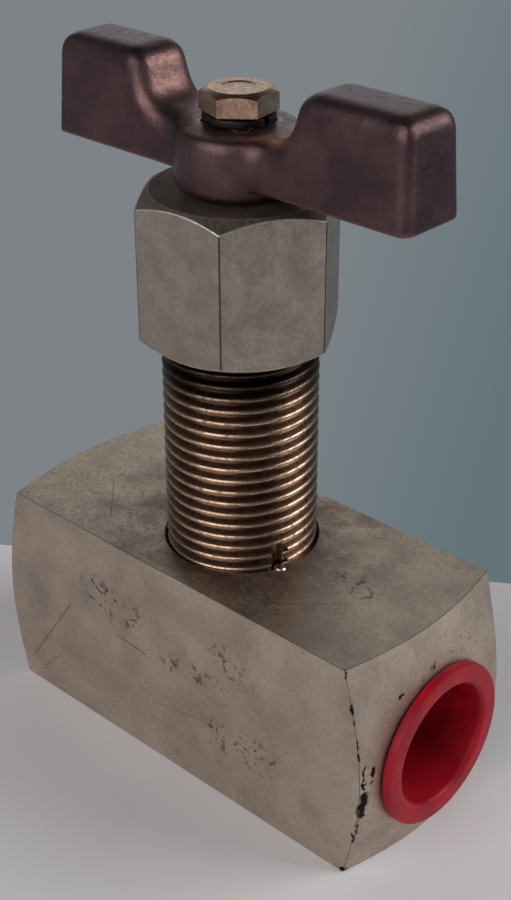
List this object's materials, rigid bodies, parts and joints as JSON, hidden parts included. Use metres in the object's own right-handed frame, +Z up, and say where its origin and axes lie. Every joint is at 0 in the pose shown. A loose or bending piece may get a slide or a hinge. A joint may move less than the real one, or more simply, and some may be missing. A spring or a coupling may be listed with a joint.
{
  "type": "needle valve",
  "caption": "Bar-stock needle valve: block body with capped pipe ports, threaded bonnet, hexagon packing nut and a tee handle that lifts a non-rotating needle off its seat.",
  "frame": {"origin": "centre of the body's base, on the stem's axis", "axes": "+Z up along the stem; +X along the flow, out of the outlet port; +Y out of the back face"},
  "size_m": [0.078, 0.0318, 0.1052],
  "materials": {
    "body_steel": "dull machined and plated bar, oily brown-grey, lightly pitted",
    "bonnet_steel": "cut thread with bronze-tinted crests and dark valleys",
    "nut_steel": "dull mottled grey hexagon bar",
    "handle_casting": "dark brown-purple cast metal, worn to copper at the edges",
    "screw_steel": "worn yellowish plating",
    "dark_steel": "oiled dark spring steel",
    "bright_steel": "bright ground steel",
    "stainless_steel": "turned stainless steel",
    "copper": "soft copper washer",
    "bronze": "bronze split collar",
    "ptfe": "white waxy packing",
    "seat_polymer": "hard cream seat polymer",
    "black_rubber": "black rubber ring",
    "red_plastic": "satin red moulded plastic"
  },
  "bodies": {
    "root": {"valve_body": "body_steel", "bonnet": "bonnet_steel", "bonnet_gasket": "copper", "bonnet_lock_pin": "bright_steel", "seat_insert": "seat_polymer", "packing_base": "stainless_steel", "packing_ring_lower": "ptfe", "packing_ring_middle": "ptfe", "packing_ring_upper": "ptfe", "packing_gland": "stainless_steel", "packing_nut": "nut_steel", "stem_wiper": "black_rubber"},
    "needle": {"needle_tip": "stainless_steel"},
    "stem": {"stem": "stainless_steel", "needle_retainer": "bronze", "thrust_ball": "bright_steel", "handle": "handle_casting", "handle_screw": "screw_steel", "handle_lock_washer": "dark_steel"},
    "inlet_cap": {"inlet_port_cap": "red_plastic"},
    "outlet_cap": {"outlet_port_cap": "red_plastic"}
  },
  "joints": [
    {"name": "needle_lift", "type": "slide", "parent": "root", "child": "needle", "axis": [0, 0, 1], "range_m": [0, 0.00635]},
    {"name": "stem_turn", "type": "hinge", "parent": "needle", "child": "stem", "pos_m": [0, 0, 0.0889], "axis": [0, 0, 1], "range_deg": [0, 1800]},
    {"name": "inlet_cap_pull", "type": "slide", "parent": "root", "child": "inlet_cap", "axis": [-1, 0, 0], "range_m": [0, 0.02]},
    {"name": "outlet_cap_pull", "type": "slide", "parent": "root", "child": "outlet_cap", "axis": [1, 0, 0], "range_m": [0, 0.02]}
  ],
  "couplings": [
    {"joint": "needle_lift", "follows": "stem_turn", "m_per_rad": 0.00020212}
  ]
}
